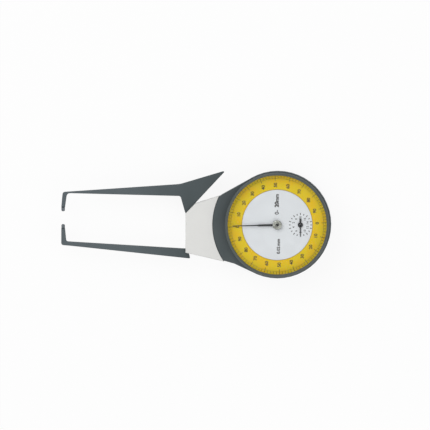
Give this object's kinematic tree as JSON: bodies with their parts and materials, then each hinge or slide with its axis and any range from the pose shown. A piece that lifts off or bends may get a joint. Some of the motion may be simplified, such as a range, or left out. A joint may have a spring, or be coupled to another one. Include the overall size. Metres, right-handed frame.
{
  "type": "outside dial caliper",
  "caption": "Outside dial caliper: two curved arms, one fixed and one opened by a finger lever, a pale neck, and a round dial with a long needle and a small counter hand.",
  "frame": {"origin": "on the axis of the large dial, in the flat back of the rear cover", "axes": "+Z out of the dial towards the reader, -X from the dial to the measuring contacts, +Y across the arms towards the finger lever"},
  "size_m": [0.1695, 0.0672, 0.0239],
  "materials": {
    "case_enamel": "satin dark blue-grey enamel",
    "arm_enamel": "satin dark grey enamel",
    "neck_plastic": "fine matte pale grey moulding",
    "steel": "turned and polished",
    "spring_steel": "blued, fine drawn",
    "hard_metal": "ground grey hard metal",
    "brass": "brushed",
    "hand_black": "satin black lacquer",
    "face_white": "matte white lacquer, printed",
    "scale_yellow": "matte yellow lacquer, printed",
    "crystal_clear": "clear, polished"
  },
  "bodies": {
    "case": {"main_housing": "case_enamel", "rear_cover": "case_enamel", "rear_cover_screw_1": "steel", "rear_cover_screw_2": "steel", "rear_cover_screw_3": "steel", "rear_cover_screw_4": "steel", "neck_rear_cover": "neck_plastic", "neck_front_cover": "neck_plastic", "neck_screw_1": "steel", "neck_screw_2": "steel", "neck_screw_3": "steel", "fixed_arm": "arm_enamel", "fixed_contact_tip": "hard_metal", "fixed_arm_screw_1": "steel", "fixed_arm_screw_2": "steel", "fixed_arm_dowel_1": "steel", "fixed_arm_dowel_2": "steel", "pivot_pin": "steel", "pivot_washer": "brass", "pivot_retaining_clip": "spring_steel", "stop_pin": "steel", "spring_post": "steel", "lower_movement_plate": "brass", "upper_movement_plate": "brass", "counter_bridge": "brass", "movement_pillar_1": "brass", "movement_pillar_2": "brass", "movement_pillar_3": "brass", "movement_screw_1": "steel", "movement_screw_2": "steel", "movement_screw_3": "steel", "hairspring_stud": "brass", "dial_face": "face_white", "bezel_snap_ring": "spring_steel"},
    "arm": {"movable_arm": "arm_enamel", "movable_contact_tip": "hard_metal", "pivot_bush": "brass", "sector_gear": "brass", "sector_spring_pin": "steel", "sector_screw_1": "steel", "sector_screw_2": "steel", "closing_spring": "spring_steel"},
    "counter": {"counter_arbor": "steel", "sector_pinion": "steel", "counter_wheel": "brass", "counter_hand": "hand_black"},
    "centre": {"centre_arbor": "steel", "centre_pinion": "steel", "needle": "hand_black", "needle_hub": "steel", "needle_cap": "hard_metal"},
    "take_up": {"take_up_arbor": "steel", "take_up_wheel": "brass", "hairspring_collet": "brass", "hairspring": "spring_steel"},
    "bezel": {"bezel": "case_enamel", "crystal": "crystal_clear", "crystal_spacer_ring": "case_enamel", "scale_ring": "scale_yellow", "bezel_retaining_ring": "brass"}
  },
  "joints": [
    {"name": "arm_pivot", "type": "hinge", "parent": "case", "child": "arm", "pos_m": [-0.04608, 0, 0.011], "axis": [0, 0, -1], "range_deg": [-5.14, 7.75], "stiffness_Nm_per_rad": 0.4, "springref_deg": -11.46, "deforming": ["closing_spring"]},
    {"name": "counter_spin", "type": "hinge", "parent": "case", "child": "counter", "pos_m": [0.01452, 0, 0.0126], "axis": [0, 0, -1], "range_deg": [-217, 144.5]},
    {"name": "needle_spin", "type": "hinge", "parent": "case", "child": "centre", "pos_m": [0, 0, 0.0126], "axis": [0, 0, -1], "range_deg": [-1433, 2160]},
    {"name": "take_up_spin", "type": "hinge", "parent": "case", "child": "take_up", "pos_m": [-0.00792, 0, 0.0126], "axis": [0, 0, -1], "range_deg": [-433, 288], "deforming": ["hairspring"]},
    {"name": "bezel_turn", "type": "hinge", "parent": "case", "child": "bezel", "pos_m": [0, 0, 0.0185], "axis": [0, 0, -1], "continuous": true}
  ],
  "couplings": [
    {"joint": "counter_spin", "follows": "arm_pivot", "ratio": -27.857},
    {"joint": "needle_spin", "follows": "arm_pivot", "ratio": 278.57},
    {"joint": "take_up_spin", "follows": "arm_pivot", "ratio": -55.714}
  ]
}
